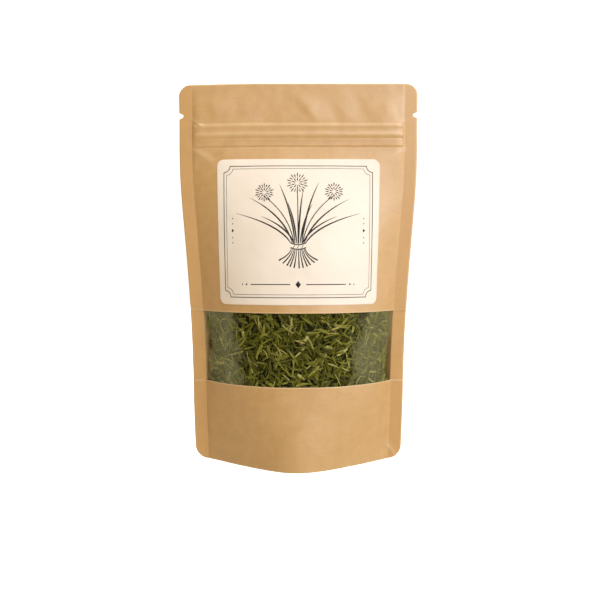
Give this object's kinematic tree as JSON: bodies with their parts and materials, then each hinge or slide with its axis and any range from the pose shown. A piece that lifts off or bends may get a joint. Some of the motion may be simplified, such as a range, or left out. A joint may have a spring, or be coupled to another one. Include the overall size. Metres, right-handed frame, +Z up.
{
  "type": "kraft stand-up pouch of dried chive leaf",
  "caption": "Filled kraft-paper stand-up pouch with a press-to-close zip, a clear window band, a plain label and dried, cut chive leaf inside.",
  "frame": {"origin": "centre of the base on the surface that the pouch stands on", "axes": "+Z up, the front with the window and the label faces -Y, +X to the right seen from the front"},
  "size_m": [0.14, 0.0632, 0.22],
  "materials": {
    "kraft_front": "satin kraft laminate",
    "kraft_back": "satin kraft laminate",
    "kraft_base": "satin kraft laminate",
    "clear_film": "clear gloss film",
    "zip_plastic": "milky plastic",
    "label_paper": "smooth cream label stock",
    "chive_leaf": "dry leaf"
  },
  "bodies": {
    "root": {"front_upper_panel": "kraft_front", "front_lower_panel": "kraft_front", "window_film": "clear_film", "back_panel": "kraft_back", "bottom_gusset": "kraft_base", "zip_rib_track": "zip_plastic", "zip_groove_track": "zip_plastic", "label": "label_paper", "chive_leaf_fill": "chive_leaf"}
  },
  "joints": []
}
